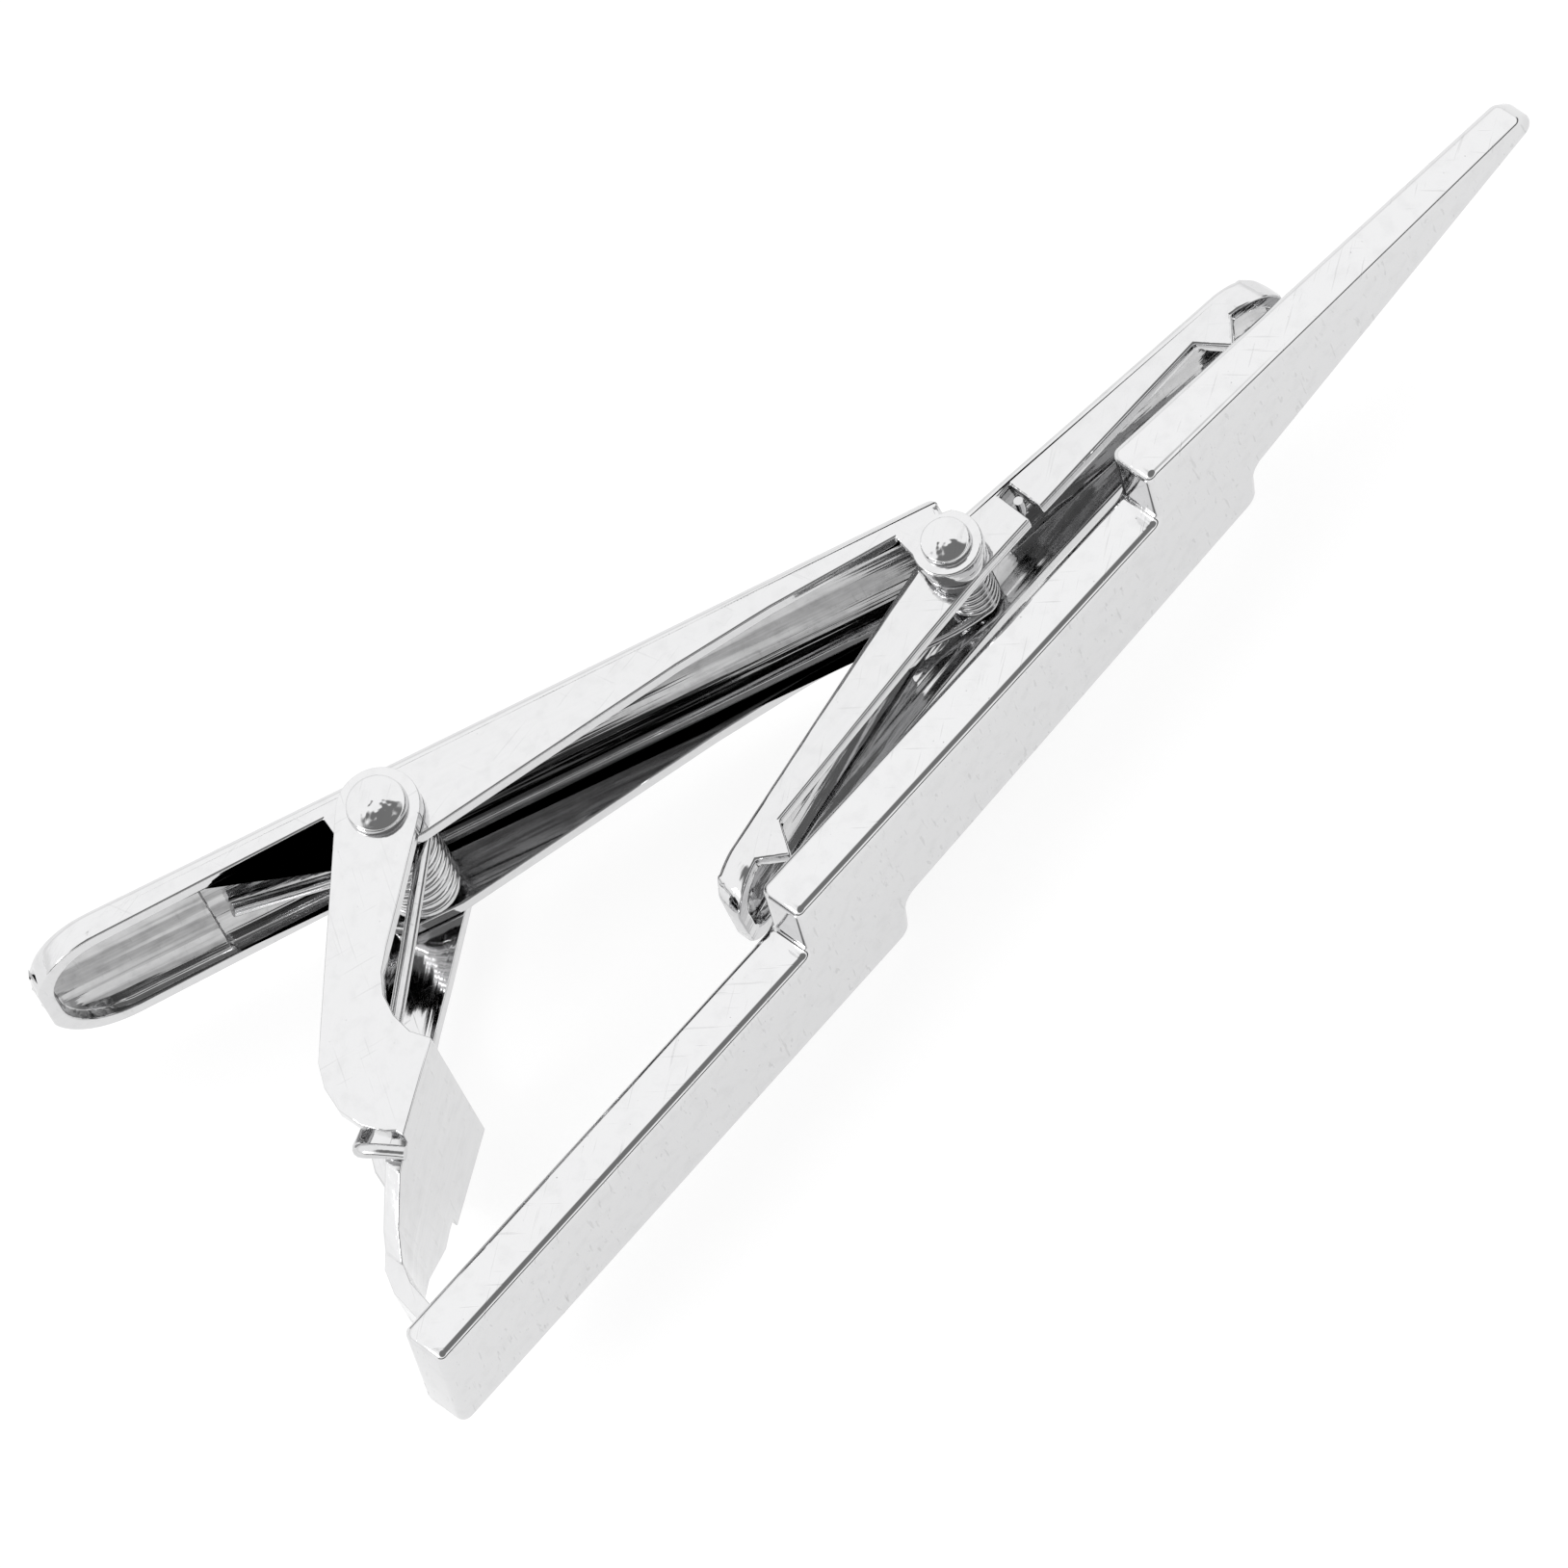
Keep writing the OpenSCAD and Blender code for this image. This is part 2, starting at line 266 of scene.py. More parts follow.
# %% [markdown]
# ## From a plain solid to a finished stamping
#
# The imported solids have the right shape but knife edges. A copy is merged into clean flat faces, in
# millimetres, because the bevel tool works better with numbers near one. The folds get a wide round first,
# then every edge that is still sharp gets a fine one. The bores are left alone, because the rivets hide
# them. A bevel can run off past a short edge beside it, so every point that strays too far from the old
# skin is pulled back onto it. Weighted normals keep the big faces truly flat, which matters on a mirror: a
# normal that leans by one degree moves the reflection by two.

# %% Round the edges of a copy
SHARP = math.radians(28)
WELD = 0.0005               # mm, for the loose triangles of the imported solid
COPLANAR = math.radians(0.6)
BORE_CLEAR = 0.75           # mm from a pin's axis
FLAT_AREA = 0.04            # square mm
RUN_OFF = 0.45              # how far a point may leave the old skin, as a share of the round's width
# The rays below measure how hidden each face is, for the painted recess shade in its colour.
RAYS = 24
SPIRAL = 2.4                # radians from one ray to the next
RAY_REACH = 0.009           # metres
FULLY_HIDDEN = 0.6          # the share of blocked rays that counts as fully inside
BEVEL_WELD = 0.01           # mm
SMOOTH_BELOW = (1.0 * MM) ** 2


def clean_copy(node_name):
    mesh = bmesh.new()
    mesh.from_mesh(frame["nodes"][node_name].data)
    bmesh.ops.scale(mesh, vec=(1 / MM,) * 3, verts=mesh.verts)
    bmesh.ops.remove_doubles(mesh, verts=mesh.verts, dist=WELD)
    bmesh.ops.dissolve_limit(mesh, angle_limit=COPLANAR, verts=mesh.verts, edges=mesh.edges)
    bmesh.ops.recalc_face_normals(mesh, faces=mesh.faces)
    return mesh


def sharp_edges(mesh):
    return [e for e in mesh.edges if len(e.link_faces) == 2 and e.calc_face_angle(0) > SHARP]


def new_piece(name, mesh, material, scale=MM):
    bmesh.ops.scale(mesh, vec=(scale,) * 3, verts=mesh.verts)
    data = bpy.data.meshes.new(name)
    mesh.to_mesh(data)
    mesh.free()
    for face in data.polygons:
        face.use_smooth = True
    data.materials.append(material)
    piece = bpy.data.objects.new(name, data)
    bpy.context.scene.collection.objects.link(piece)
    return piece


def applied(piece):
    graph = bpy.context.evaluated_depsgraph_get()
    data = bpy.data.meshes.new_from_object(piece.evaluated_get(graph))
    piece.modifiers.clear()
    piece.data = data


def clear_of_bores(edge):
    """True for an edge away from both bores, which the rivets hide."""
    axes = [Vector((axis.x, axis.y)) / MM for axis in (lever_pin, jaw_pin_at)]
    return all((v.co.xy - axis).length > BORE_CLEAR for v in edge.verts for axis in axes)


def beside_a_flat(edge):
    """True for the blank's own edges, and not for the small facets of a bend that is already round."""
    return any(face.calc_area() > FLAT_AREA for face in edge.link_faces)


def round_edges(mesh, edges, width, segments):
    """Bevels the edges, then pulls back any point that ran off past a short neighbouring edge."""
    before = BVHTree.FromBMesh(mesh)
    bmesh.ops.bevel(mesh, geom=edges, offset=width, offset_type="OFFSET", segments=segments,
                    profile=0.5, affect="EDGES", clamp_overlap=False)
    for vert in mesh.verts:
        nearest, _, _, distance = before.find_nearest(vert.co)
        if distance > RUN_OFF * width:
            vert.co = nearest


def paint_recess_shade(data, floor=None):
    """Gives each face the share of the room above it that the piece's own walls hide, from 0 to 1.

    The chrome darkens its colour by this share, so it is painted shade. floor picks faces that count as
    fully inside, which get the full painted shade."""
    tree = BVHTree.FromPolygons([v.co for v in data.vertices], [p.vertices for p in data.polygons])
    recess_shade = data.attributes.new("recess_shade", "FLOAT", "FACE")
    for face in data.polygons:
        across = face.normal.orthogonal()
        hidden = 0
        for i in range(RAYS):
            lean = math.asin(math.sqrt((i + 0.5) / RAYS))
            spun = Matrix.Rotation(i * SPIRAL, 3, face.normal) @ across
            ray = spun * math.sin(lean) + face.normal * math.cos(lean)
            hit = tree.ray_cast(face.center + face.normal * 0.00001, ray, RAY_REACH)
            hidden += hit[0] is not None
        inside = 1.0 if floor and floor(face) else hidden / RAYS / FULLY_HIDDEN
        recess_shade.data[face.index].value = min(1.0, inside)


def polished(node_name, name, material, body, bends, fine_width, floor=None):
    """bends is a list of (which edges, radius in mm), widest first. The rest get fine_width."""
    mesh = clean_copy(node_name)
    for wide, width in bends:
        round_edges(mesh, [e for e in sharp_edges(mesh) if wide(e)], width, 6)
    round_edges(mesh, [e for e in sharp_edges(mesh) if clear_of_bores(e) and beside_a_flat(e)], fine_width, 3)
    bmesh.ops.remove_doubles(mesh, verts=mesh.verts, dist=BEVEL_WELD)
    piece = new_piece(name, mesh, material)
    for face in piece.data.polygons:
        face.use_smooth = face.area < SMOOTH_BELOW
    weight = piece.modifiers.new("flat faces stay flat", "WEIGHTED_NORMAL")
    weight.weight = 80
    applied(piece)
    # Paints shade into the colour: each face gets its recess shade value.
    paint_recess_shade(piece.data, floor)
    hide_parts(node_name)
    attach(piece, body)
    print(name, len(piece.data.polygons), "faces")


# %% [markdown]
# ## The bolt bar
#
# The bar is one heavy casting, and its outline is a bolt of lightning. It was ground on a wheel, which
# rounds corners more than a bevel tool would dare, so this piece is lofted instead: the outline is drawn
# again and again, first shrinking towards the front face and then towards the back, with each corner turned
# on its own radius. Every ring has the same number of points, so the rings join up into clean four-sided
# faces.

# %% Bolt outline
bar_low, bar_high = (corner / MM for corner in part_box("bolt_bar"))
START = bar_low.x + 0.5
LEVEL = mid_z / MM
CORNERS = (     # along the bar, up from its middle, corner radius in mm
    (-0.5, -1.98, 0.45), (0.0, 3.07, 0.35), (19.3, 1.0, 0.3), (19.6, 3.75, 0.4), (38.6, 1.5, 0.3),
    (38.95, 4.45, 0.4), (57.9, -0.25, 0.5), (58.8, -1.5, 0.5), (42.8, -1.85, 0.5), (42.4, -3.6, 0.6),
    (23.5, -2.4, 0.5), (23.1, -4.3, 0.6),
)
ARC = 7


def bolt_ring(shrink):
    """The outline moved in by shrink, as (x, z) points in mm, in the order of CORNERS."""
    points = [Vector((START + x, LEVEL + z)) for x, z, radius in CORNERS]
    count = len(points)
    area = sum(points[i].x * points[(i + 1) % count].y - points[(i + 1) % count].x * points[i].y
               for i in range(count))
    side = 1 if area > 0 else -1
    moved = []
    for i in range(count):
        before, here, after = points[i - 1], points[i], points[(i + 1) % count]
        a, b = (here - before).normalized(), (after - here).normalized()
        into_a, into_b = side * Vector((-a.y, a.x)), side * Vector((-b.y, b.x))
        moved.append(here + shrink * (into_a + into_b) / (1 + into_a.dot(into_b)))
    ring = []
    for i in range(count):
        before, here, after = moved[i - 1], moved[i], moved[(i + 1) % count]
        a, b = (here - before).normalized(), (after - here).normalized()
        turn = math.atan2(a.x * b.y - a.y * b.x, a.dot(b))
        outward = turn * side > 0
        radius = max(0.06, CORNERS[i][2] - shrink) if outward else CORNERS[i][2] + shrink
        reach = radius * math.tan(abs(turn) / 2)
        start = here - a * reach
        normal = Vector((-a.y, a.x)) * (1 if turn > 0 else -1)
        middle_at = start + normal * radius
        spoke = start - middle_at
        for k in range(ARC):
            angle = turn * k / (ARC - 1)
            ring.append(middle_at + Vector((
                spoke.x * math.cos(angle) - spoke.y * math.sin(angle),
                spoke.x * math.sin(angle) + spoke.y * math.cos(angle),
            )))
    return ring


print(len(bolt_ring(0)), "points in a ring")

# %% Bolt bar
FRONT_ROUND = 0.3
BACK_ROUND = 0.5
BAR_THICK = bar_high.y - bar_low.y
TIP_THICK = 1.35
THIN_FROM = START + 38.95
THIN_TO = START + 59.4


def bar_back(x):
    share = max(0.0, (x - THIN_FROM) / (THIN_TO - THIN_FROM))
    return bar_low.y + BAR_THICK - share * (BAR_THICK - TIP_THICK + 0.03)


mesh = bmesh.new()
rings = []
STEPS = 7
for k in range(STEPS + 1):                      # front face first, out to the side
    angle = math.pi / 2 * k / STEPS
    shrink = FRONT_ROUND * (1 - math.sin(angle))
    depth = FRONT_ROUND * (1 - math.cos(angle))
    rings.append([mesh.verts.new((p.x, bar_low.y + depth, p.y)) for p in bolt_ring(shrink)])
for k in range(STEPS + 1):                      # then from the side in to the back
    angle = math.pi / 2 * k / STEPS
    shrink = BACK_ROUND * (1 - math.cos(angle))
    depth = BACK_ROUND * (1 - math.sin(angle))
    rings.append([mesh.verts.new((p.x, bar_back(p.x) - depth, p.y)) for p in bolt_ring(shrink)])
for upper, lower in zip(rings, rings[1:]):
    for i in range(len(upper)):
        k = (i + 1) % len(upper)
        mesh.faces.new((upper[i], upper[k], lower[k], lower[i]))
caps = []
# The back thins towards the tip on a flat of its own, so each cap is two faces.
near, far = 4 * ARC + ARC // 2, 8 * ARC + ARC // 2
for ring in (rings[0], rings[-1]):
    caps.append(mesh.faces.new(ring[near:far + 1]))
    caps.append(mesh.faces.new(ring[far:] + ring[:near + 1]))
bmesh.ops.recalc_face_normals(mesh, faces=mesh.faces)
mesh.faces.index_update()
flat = [face.index for face in caps]
bar = new_piece("bolt_bar_ground", mesh, cast_chrome)
for index in flat:
    bar.data.polygons[index].use_smooth = False
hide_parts("bolt_bar")
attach(bar, "bar")
print("bar", len(bar.data.polygons), "faces")

# %% [markdown]
# ## The hinge bracket
#
# One strip of sheet with two ears folded up. The press leaves a round bend as wide as the sheet is thick
# where each ear meets the web, and thin burnished edges everywhere else.

# %% Hinge bracket
bracket_low, bracket_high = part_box("hinge_bracket")
ear_low, ear_high = bracket_low.z / MM, bracket_high.z / MM


def is_fold(edge):
    below = all(v.co.z < ear_low + 0.01 for v in edge.verts)
    above = all(v.co.z > ear_high - 0.01 for v in edge.verts)
    outside = below or above
    by_foot = all(v.co.x < bracket_low.x / MM + 6 for v in edge.verts)
    return outside and by_foot and any(f.normal.y < -0.85 and f.normal.x > 0.3 for f in edge.link_faces)


polished("hinge_bracket", "hinge_bracket_folded", bracket_chrome, "bar",
         ((is_fold, 0.5),), 0.06)

# %% [markdown]
# ## The lever
#
# A channel pressed from one blank, so its web turns into the walls round a small bend, all the way round
# the scooped tail. The web's outer face points away from the bar.

# %% Lever channel
LEVER_SLOPE = math.radians(-26.8)
web_out = Vector((-math.sin(LEVER_SLOPE), math.cos(LEVER_SLOPE), 0))


def round_lever_web(edge):
    return any(f.normal.dot(web_out) > 0.99 for f in edge.link_faces)


SHEET = 0.62
web_level = max((v.co / MM).dot(web_out) for v in frame["nodes"]["lever_channel"].data.vertices)


def inner_fold(edge):
    on_floor = all(abs(v.co.dot(web_out) - web_level + SHEET) < 0.2 for v in edge.verts)
    return on_floor and any(abs(f.normal.z) > 0.95 for f in edge.link_faces)


# The channel's inner floor counts as fully inside, so its colour gets the full painted shade.
def channel_floor(face):
    return face.normal.dot(web_out) < -0.9 and (face.center / MM).dot(web_out) > web_level - SHEET - 0.35


polished("lever_channel", "lever_channel_pressed", lever_chrome, "lever",
         ((round_lever_web, 0.5), (inner_fold, 0.25)), 0.08, channel_floor)

# %% [markdown]
# ## The jaw
#
# The jaw is a smaller channel with a roof-shaped web. Only the outer edges of the roof are bends. The
# window in the middle and the slot in the near wall are cut, so they stay crisp.

# %% Rocking jaw
jaw_low, jaw_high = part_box("rocking_jaw")
jaw_half = (jaw_high.z - jaw_low.z) / 2 / MM


def round_roof(edge):
    middle = (edge.verts[0].co + edge.verts[1].co) / 2
    in_window = abs(middle.z - mid_z / MM) < jaw_half - 0.4 and abs(middle.x - jaw_pin_at.x / MM) < 6
    return not in_window and any(f.normal.y > 0.97 for f in edge.link_faces)


polished("rocking_jaw", "rocking_jaw_pressed", jaw_chrome, "jaw",
         ((round_roof, 0.35),), 0.1)

# %% [markdown]
# ## Rivets and spacers
#
# A rivet is turned, so its profile is spun round its axis. The head is a low dome with a short upright rim,
# and the pressing tool leaves it slightly uneven, which the chrome's swell shows. Both poles are single
# points.

# %% Lathe
AROUND = 72


def lathe(name, profile, axis, material, dent=0.0):
    """profile is a list of (radius, height) in mm from the top of the axis to its foot."""
    mesh = bmesh.new()
    rings = []
    for radius, height in profile:
        if radius < 1e-6:
            rings.append([mesh.verts.new((axis.x / MM, axis.y / MM, height))])
        else:
            rings.append([
                mesh.verts.new((
                    axis.x / MM + radius * math.cos(2 * math.pi * i / AROUND),
                    axis.y / MM + radius * math.sin(2 * math.pi * i / AROUND), height,
                )) for i in range(AROUND)
            ])
    for upper, lower in zip(rings, rings[1:]):
        for i in range(AROUND):
            k = (i + 1) % AROUND
            corners = [upper[i % len(upper)], lower[i % len(lower)],
                       lower[k % len(lower)], upper[k % len(upper)]]
            mesh.faces.new(list(dict.fromkeys(corners)))
    reach = max(radius for radius, height in profile)
    for vert in mesh.verts:
        away = (vert.co - Vector((axis.x / MM, axis.y / MM, vert.co.z))).length
        inner = max(0.0, 1 - (away / reach) ** 4)
        side = 1 if vert.co.z > mid_z / MM else -1
        uneven = 0.9 + noise.noise(vert.co * 3.1) + 0.6 * noise.noise(vert.co * 7.3)
        vert.co.z -= side * inner * dent * uneven
    bmesh.ops.recalc_face_normals(mesh, faces=mesh.faces)
    return new_piece(name, mesh, material)


def rivet_profile(shank, head, height, half):
    """Head, shank, head: half is from the middle to the face that a head sits on."""
    middle = mid_z / MM
    rim = 0.1
    steps = 24
    crown = [(0.0, 0.0)]
    for i in range(1, steps + 1):
        share = i / steps
        lean = min(1.0, max(0.0, (share - 0.12) / 0.4))
        slope = math.radians(29 * lean * lean * (3 - 2 * lean) + 55 * max(0.0, (share - 0.9) / 0.1))
        crown.append((head * share, crown[-1][1] + head / steps * math.tan(slope)))
    drop = crown[-1][1]
    dome = [(radius, half + rim + (height - rim) * (1 - fall / drop)) for radius, fall in crown]
    under = [(head, half + 0.05), (head - 0.05, half + 0.005), (shank, half + 0.003)]
    top = dome + under
    bottom = [(radius, -height_at) for radius, height_at in reversed(top)]
    return [(radius, middle + height_at) for radius, height_at in top + bottom]


def rivet(node_name, name, axis, body, shank, head, height, half):
    piece = lathe(name, rivet_profile(shank, head, height, half), axis, pin_chrome, dent=0.02)
    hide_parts(node_name)
    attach(piece, body)
    print(name, len(piece.data.polygons), "faces")


# %% Rivets
pin_low, pin_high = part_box("bracket_pin")
PIN_HEAD_HEIGHT = 0.55
pin_half = (pin_high.z - pin_low.z) / 2 / MM - PIN_HEAD_HEIGHT
rivet("bracket_pin", "bracket_rivet", lever_pin, "bar", 0.5, 1.1, PIN_HEAD_HEIGHT, pin_half)
jaw_pin_low, jaw_pin_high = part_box("jaw_pin")
JAW_HEAD_HEIGHT = 0.5
jaw_pin_half = (jaw_pin_high.z - jaw_pin_low.z) / 2 / MM - JAW_HEAD_HEIGHT
rivet("jaw_pin", "jaw_rivet", jaw_pin_at, "lever", 0.45, 0.9, JAW_HEAD_HEIGHT, jaw_pin_half)

# %% Spacers
polished("jaw_spacers", "jaw_spacers_turned", pin_chrome, "lever", (), 0.06)

# %% [markdown]
# ## Springs
#
# A spring is one wire that follows a path, which is what Geometry Nodes do well: a curve goes in, a circle
# is swept along it, and the radius is a named input. The path is a few straight legs and a coil worked out
# turn by turn. Only the lever spring's far leg is tied to the lever; the coils stay where they are drawn,
# and nothing here winds them up when the lever opens.

# %% Wire tree


def wire_tree():
    tree = bpy.data.node_groups.new("drawn_wire", "GeometryNodeTree")
    sockets = (("Geometry", "INPUT", "NodeSocketGeometry"), ("Wire radius", "INPUT", "NodeSocketFloat"),
               ("Sides", "INPUT", "NodeSocketInt"), ("Finish", "INPUT", "NodeSocketMaterial"),
               ("Geometry", "OUTPUT", "NodeSocketGeometry"))
    for name, way, kind in sockets:
        tree.interface.new_socket(name=name, in_out=way, socket_type=kind)
    given = tree.nodes.new("NodeGroupInput")
    result = tree.nodes.new("NodeGroupOutput")
    circle = tree.nodes.new("GeometryNodeCurvePrimitiveCircle")
    sweep = tree.nodes.new("GeometryNodeCurveToMesh")
    sweep.inputs["Fill Caps"].default_value = True
    real = tree.nodes.new("GeometryNodeRealizeInstances")
    smooth = tree.nodes.new("GeometryNodeSetShadeSmooth")
    paint = tree.nodes.new("GeometryNodeSetMaterial")
    links = (
        (given.outputs["Geometry"], sweep.inputs["Curve"]),
        (given.outputs["Wire radius"], circle.inputs["Radius"]),
        (given.outputs["Sides"], circle.inputs["Resolution"]),
        (circle.outputs["Curve"], sweep.inputs["Profile Curve"]),
        (sweep.outputs["Mesh"], smooth.inputs["Geometry"]),
        (smooth.outputs["Geometry"], real.inputs["Geometry"]),
        (real.outputs["Geometry"], paint.inputs["Geometry"]),
        (given.outputs["Finish"], paint.inputs["Material"]),
        (paint.outputs["Geometry"], result.inputs["Geometry"]),
    )
    for a, b in links:
        tree.links.new(a, b)
    return tree


drawn_wire = wire_tree()


def set_input(modifier, name, value):
    for item in modifier.node_group.interface.items_tree:
        if item.name == name and item.in_out == "INPUT":
            modifier[item.identifier] = value


def draw_wire(name, path, radius, sides=14):
    """path is in mm. The result is a plain mesh at the origin."""
    curve = bpy.data.curves.new(name + "_path", "CURVE")
    curve.dimensions = "3D"
    spline = curve.splines.new("POLY")
    spline.points.add(len(path) - 1)
    for point, place in zip(spline.points, path):
        point.co = (*[c * MM for c in place], 1)
    holder = bpy.data.objects.new(name + "_path", curve)
    bpy.context.scene.collection.objects.link(holder)
    modifier = holder.modifiers.new("wire", "NODES")
    modifier.node_group = drawn_wire
    set_input(modifier, "Wire radius", radius * MM)
    set_input(modifier, "Sides", sides)
    set_input(modifier, "Finish", wire_chrome)
    graph = bpy.context.evaluated_depsgraph_get()
    data = bpy.data.meshes.new_from_object(holder.evaluated_get(graph))
    bpy.data.objects.remove(holder)
    if not data.materials:
        data.materials.append(wire_chrome)
    mesh = bmesh.new()
    mesh.from_mesh(data)
    bmesh.ops.recalc_face_normals(mesh, faces=mesh.faces)
    mesh.to_mesh(data)
    mesh.free()
    piece = bpy.data.objects.new(name, data)
    bpy.context.scene.collection.objects.link(piece)
    print(name, len(data.polygons), "faces")
    return piece


def eased(points, rounds=3):
    """Cuts the corners of a path so that a bend looks like bent wire. The ends stay."""
    for _ in range(rounds):
        cut = [points[0]]
        for a, b in zip(points, points[1:]):
            cut += [a.lerp(b, 0.25), a.lerp(b, 0.75)]
        points = cut + [points[-1]]
    return points


def coil(centre, radius, start, end, z0, z1, per_turn=40):
    count = math.ceil(abs(end - start) / (2 * math.pi) * per_turn)
    return [
        Vector((
            centre.x + radius * math.cos(start + (end - start) * i / count),
            centre.y + radius * math.sin(start + (end - start) * i / count),
            z0 + (z1 - z0) * i / count,
        )) for i in range(count + 1)
    ]


# %% Lever spring
WIRE = 0.26
COIL = 1.15
COIL_HALF = 2.2
TURNS = 7
middle = mid_z / MM
pin_mm = lever_pin / MM
slack = 0.3        # the coil hangs this far off the pin, away from the lever's web
centre = Vector((pin_mm.x, pin_mm.y, 0)) - slack * web_out
begin = math.radians(-59.5)
finish_angle = math.pi / 2 + LEVER_SLOPE + 2 * math.pi * TURNS


def by_pin(x, y, z):
    """A point given from the bracket pin's axis at mid height, in mm."""
    return Vector((pin_mm.x + x, pin_mm.y + y, middle + z))


hook = [by_pin(-9.22, -9.04, 3.85), by_pin(-9.44, -8.64, 3.85), by_pin(-9.77, -8.09, 3.85),
        by_pin(-10.0, -7.67, 3.72), by_pin(-9.97, -7.39, 3.4), by_pin(-9.62, -7.19, 3.1),
        by_pin(-8.92, -6.84, 2.8), by_pin(-7.82, -6.27, 2.45), by_pin(-5.72, -5.06, 2.25)]
turns = coil(centre, COIL, begin, finish_angle, middle + COIL_HALF, middle - COIL_HALF)
spring = draw_wire("lever_spring_coil", eased(hook + [turns[0]])[:-1] + turns, WIRE)
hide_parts("lever_spring")
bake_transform(spring)

along = -Vector((math.cos(LEVER_SLOPE), math.sin(LEVER_SLOPE), 0))
leg_path = [turns[-2], turns[-1], turns[-1] + 0.3 * along + Vector((0, 0, 0.08)),
            turns[-1] + 2.5 * along + Vector((0, 0, 1.0)), turns[-1] + 6.2 * along + Vector((0, 0, 2.4))]
leg = draw_wire("lever_spring_leg", leg_path, WIRE)
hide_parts("lever_spring")
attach(leg, "lever")

# %% Jaw spring
JAW_WIRE = 0.17
JAW_COIL = 0.78
JAW_COIL_HALF = 1.1
JAW_TILT = math.radians(-1.5)
jaw_mm = jaw_pin_at / MM


def by_jaw(x, y, z):
    """A point given from the jaw pin in the jaw's own frame, in mm."""
    return Vector((
        jaw_mm.x + x * math.cos(JAW_TILT) - y * math.sin(JAW_TILT),
        jaw_mm.y + x * math.sin(JAW_TILT) + y * math.cos(JAW_TILT), middle + z,
    ))


jaw_begin = math.radians(-95)
jaw_end = math.radians(-82) + 12 * math.pi
jaw_turns = [
    by_jaw(p.x, p.y, p.z)
    for p in coil(Vector((0, 0, 0)), JAW_COIL, jaw_begin, jaw_end, -JAW_COIL_HALF, JAW_COIL_HALF)
]
lever_leg = [by_jaw(-5.3, 1.2, -0.5), by_jaw(-3.0, 0.19, -0.75), by_jaw(-1.2, -0.52, -1.0)]
jaw_leg = [by_jaw(1.2, -0.62, 1.15), by_jaw(2.5, -0.48, 1.2), by_jaw(2.85, -0.44, 1.35),
           by_jaw(2.92, -0.43, 1.7), by_jaw(2.93, -0.4, 2.1)]
jaw_path = eased(lever_leg + [jaw_turns[0]])[:-1] + jaw_turns + eased([jaw_turns[-1]] + jaw_leg)[1:]
jaw_spring = draw_wire("jaw_spring_coil", jaw_path, JAW_WIRE)
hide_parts("jaw_spring")
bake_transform(jaw_spring)

# %% [markdown]
# ## Solder
#
# The bracket's foot stands on the back of the bar in a run of solder, which chilled with a lumpy skin
# before the clip was plated. A copy of the plain run is divided finely, and noise pushes its skin in and
# out a little.

# %% Solder run
mesh = clean_copy("solder_joint")
bmesh.ops.triangulate(mesh, faces=mesh.faces)
long_edges = [e for e in mesh.edges if e.calc_length() > 0.5]
bmesh.ops.subdivide_edges(mesh, edges=long_edges, cuts=9, use_grid_fill=True)
bmesh.ops.triangulate(mesh, faces=mesh.faces)
bmesh.ops.subdivide_edges(mesh, edges=mesh.edges, cuts=1, use_grid_fill=True)
for vert in mesh.verts:
    lump = noise.noise(vert.co * 2.3) * 0.5 + noise.noise(vert.co * 6.0) * 0.25
    vert.co.y -= 0.06 * abs(lump)
    vert.co.x += 0.05 * lump
solder = new_piece("solder_run", mesh, solder_chrome)
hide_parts("solder_joint")
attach(solder, "bar")

# %% [markdown]
# ## Floor and light
#
# Chrome only shows its room. The room is a white tent over a pale table that glows, so there is hardly a
# shadow. The bright ceiling is what the long side mirrors, and the table is what the front face mirrors.
# Two things are dark: a low band at the horizon, faint behind the clip, and the round opening that the lens
# looks through. They draw the dark lines along the rounded edges, and they fill the inside corners, because
# two walls at a right angle send a look straight back where it came from. Both are fixed in the room. From
# another side the metal mirrors them somewhere else: seen straight from the front, the bar's flat face
# picks up the dark band.

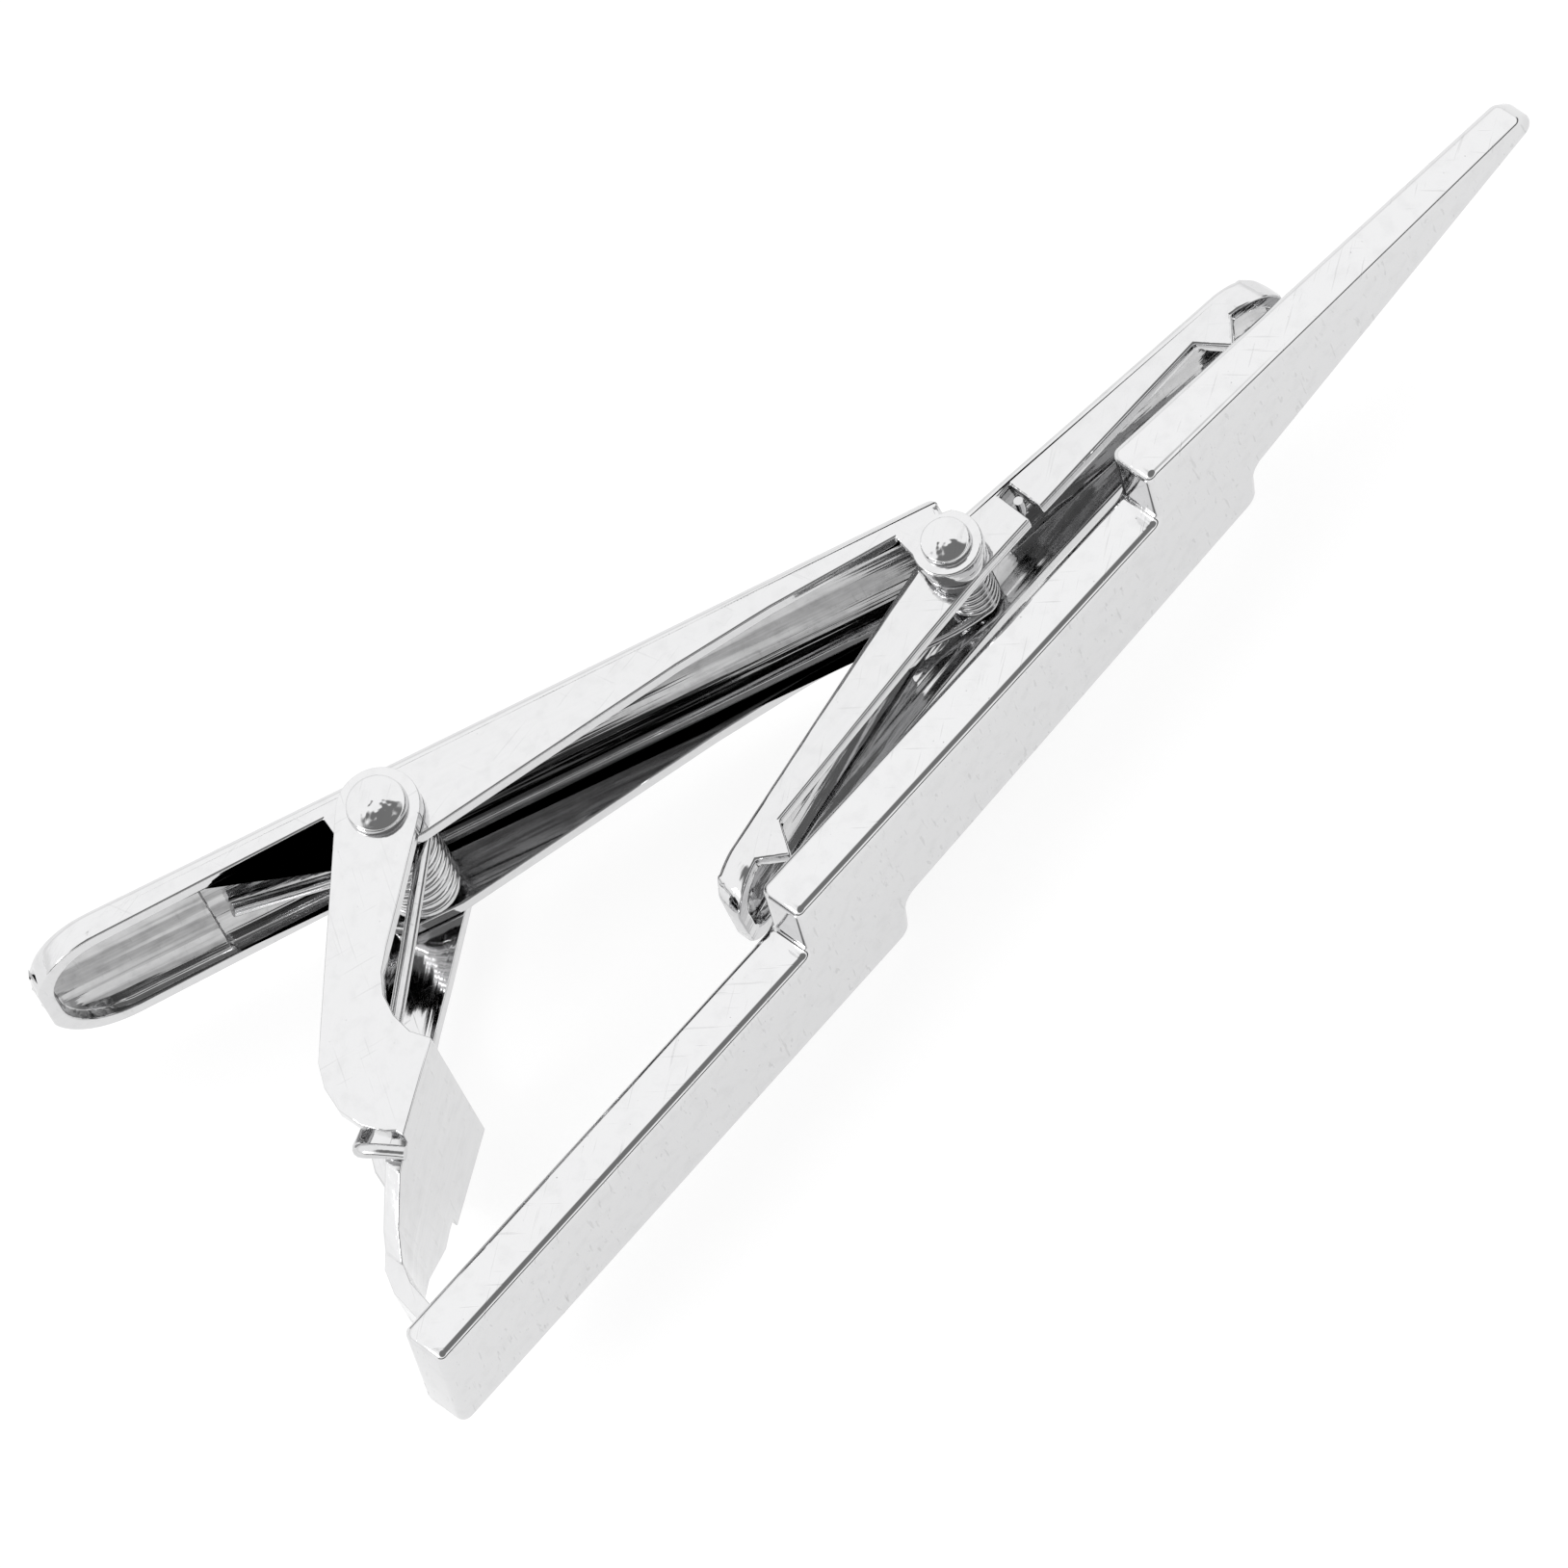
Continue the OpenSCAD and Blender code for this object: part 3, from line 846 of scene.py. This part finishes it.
# %% Floor
floor_z = cad_box[0][2]
FLOOR_GAP = 0.00002
floor_mesh = bmesh.new()
FLOOR_HALF = 1.5
corners = [floor_mesh.verts.new((sx * FLOOR_HALF, sy * FLOOR_HALF, floor_z - FLOOR_GAP))
           for sx, sy in ((-1, -1), (1, -1), (1, 1), (-1, 1))]
floor_mesh.faces.new(corners)
floor_material = bpy.data.materials.new("glowing_table")
floor_material.use_nodes = True
floor_shader = floor_material.node_tree.nodes["Principled BSDF"]
floor_shader.inputs["Base Color"].default_value = (0.25, 0.25, 0.25, 1)
floor_shader.inputs["Roughness"].default_value = 0.9
floor_shader.inputs["Emission Color"].default_value = (1, 1, 1, 1)
floor_shader.inputs["Emission Strength"].default_value = 0.83
floor = new_piece("floor", floor_mesh, floor_material, scale=1.0)

# %% World and lights
PORT = (-0.178, -0.407, 0.896)       # the fixed direction in which the tent is open for the lens
PORT_RIM = math.cos(math.radians(45))
PORT_CORE = math.cos(math.radians(35))
PORT_DEPTH = 0.82
BAND_LOW, BAND_HIGH = 0.10, 0.36     # the dark horizon ends between these heights
BACK_FADE = 0.8                      # how much of the band is missing behind the clip
world = bpy.data.worlds.new("white_tent")
bpy.context.scene.world = world
world.use_nodes = True
sky = world.node_tree
sky.nodes.clear()
direction = node(sky, "ShaderNodeTexCoord", output=0)
parts = sky.nodes.new("ShaderNodeSeparateXYZ")
sky.links.new(direction.socket, parts.inputs[0])
height = Sum(sky, parts.outputs[2])
behind = Sum(sky, parts.outputs[1]).above(-0.15, 0.3)
towards = node(sky, "ShaderNodeVectorMath", {"operation": "DOT_PRODUCT"},
               {0: direction, 1: PORT}, output=1)
CEILING = 1.25
DARK = 0.015
band = 1 - (1 - height.above(BAND_LOW, BAND_HIGH)) * (1 - behind * BACK_FADE)
port = towards.above(PORT_RIM, PORT_CORE)
light_level = (band * (CEILING - DARK) + DARK) * (1 - port * PORT_DEPTH)
background = node(sky, "ShaderNodeBackground", None, {"Color": (1, 1, 1, 1), "Strength": light_level})
node(sky, "ShaderNodeOutputWorld", None, {"Surface": background})

bpy.context.scene.view_settings.view_transform = "Standard"


def softbox(name, place, aim, size, power):
    lamp = bpy.data.lights.new(name, "AREA")
    lamp.shape = "RECTANGLE"
    lamp.size, lamp.size_y = size
    lamp.energy = power
    holder = bpy.data.objects.new(name, lamp)
    bpy.context.scene.collection.objects.link(holder)
    holder.location = place
    holder.rotation_euler = (Vector(aim) - Vector(place)).to_track_quat("-Z", "Y").to_euler()


softbox("side softbox", (-1.3, 0.3, 0.7), (0, 0, 0), (0.5, 0.3), 5)

# %% Update the scene and print the floor height
bpy.context.view_layer.update()
print("floor at", floor_z)
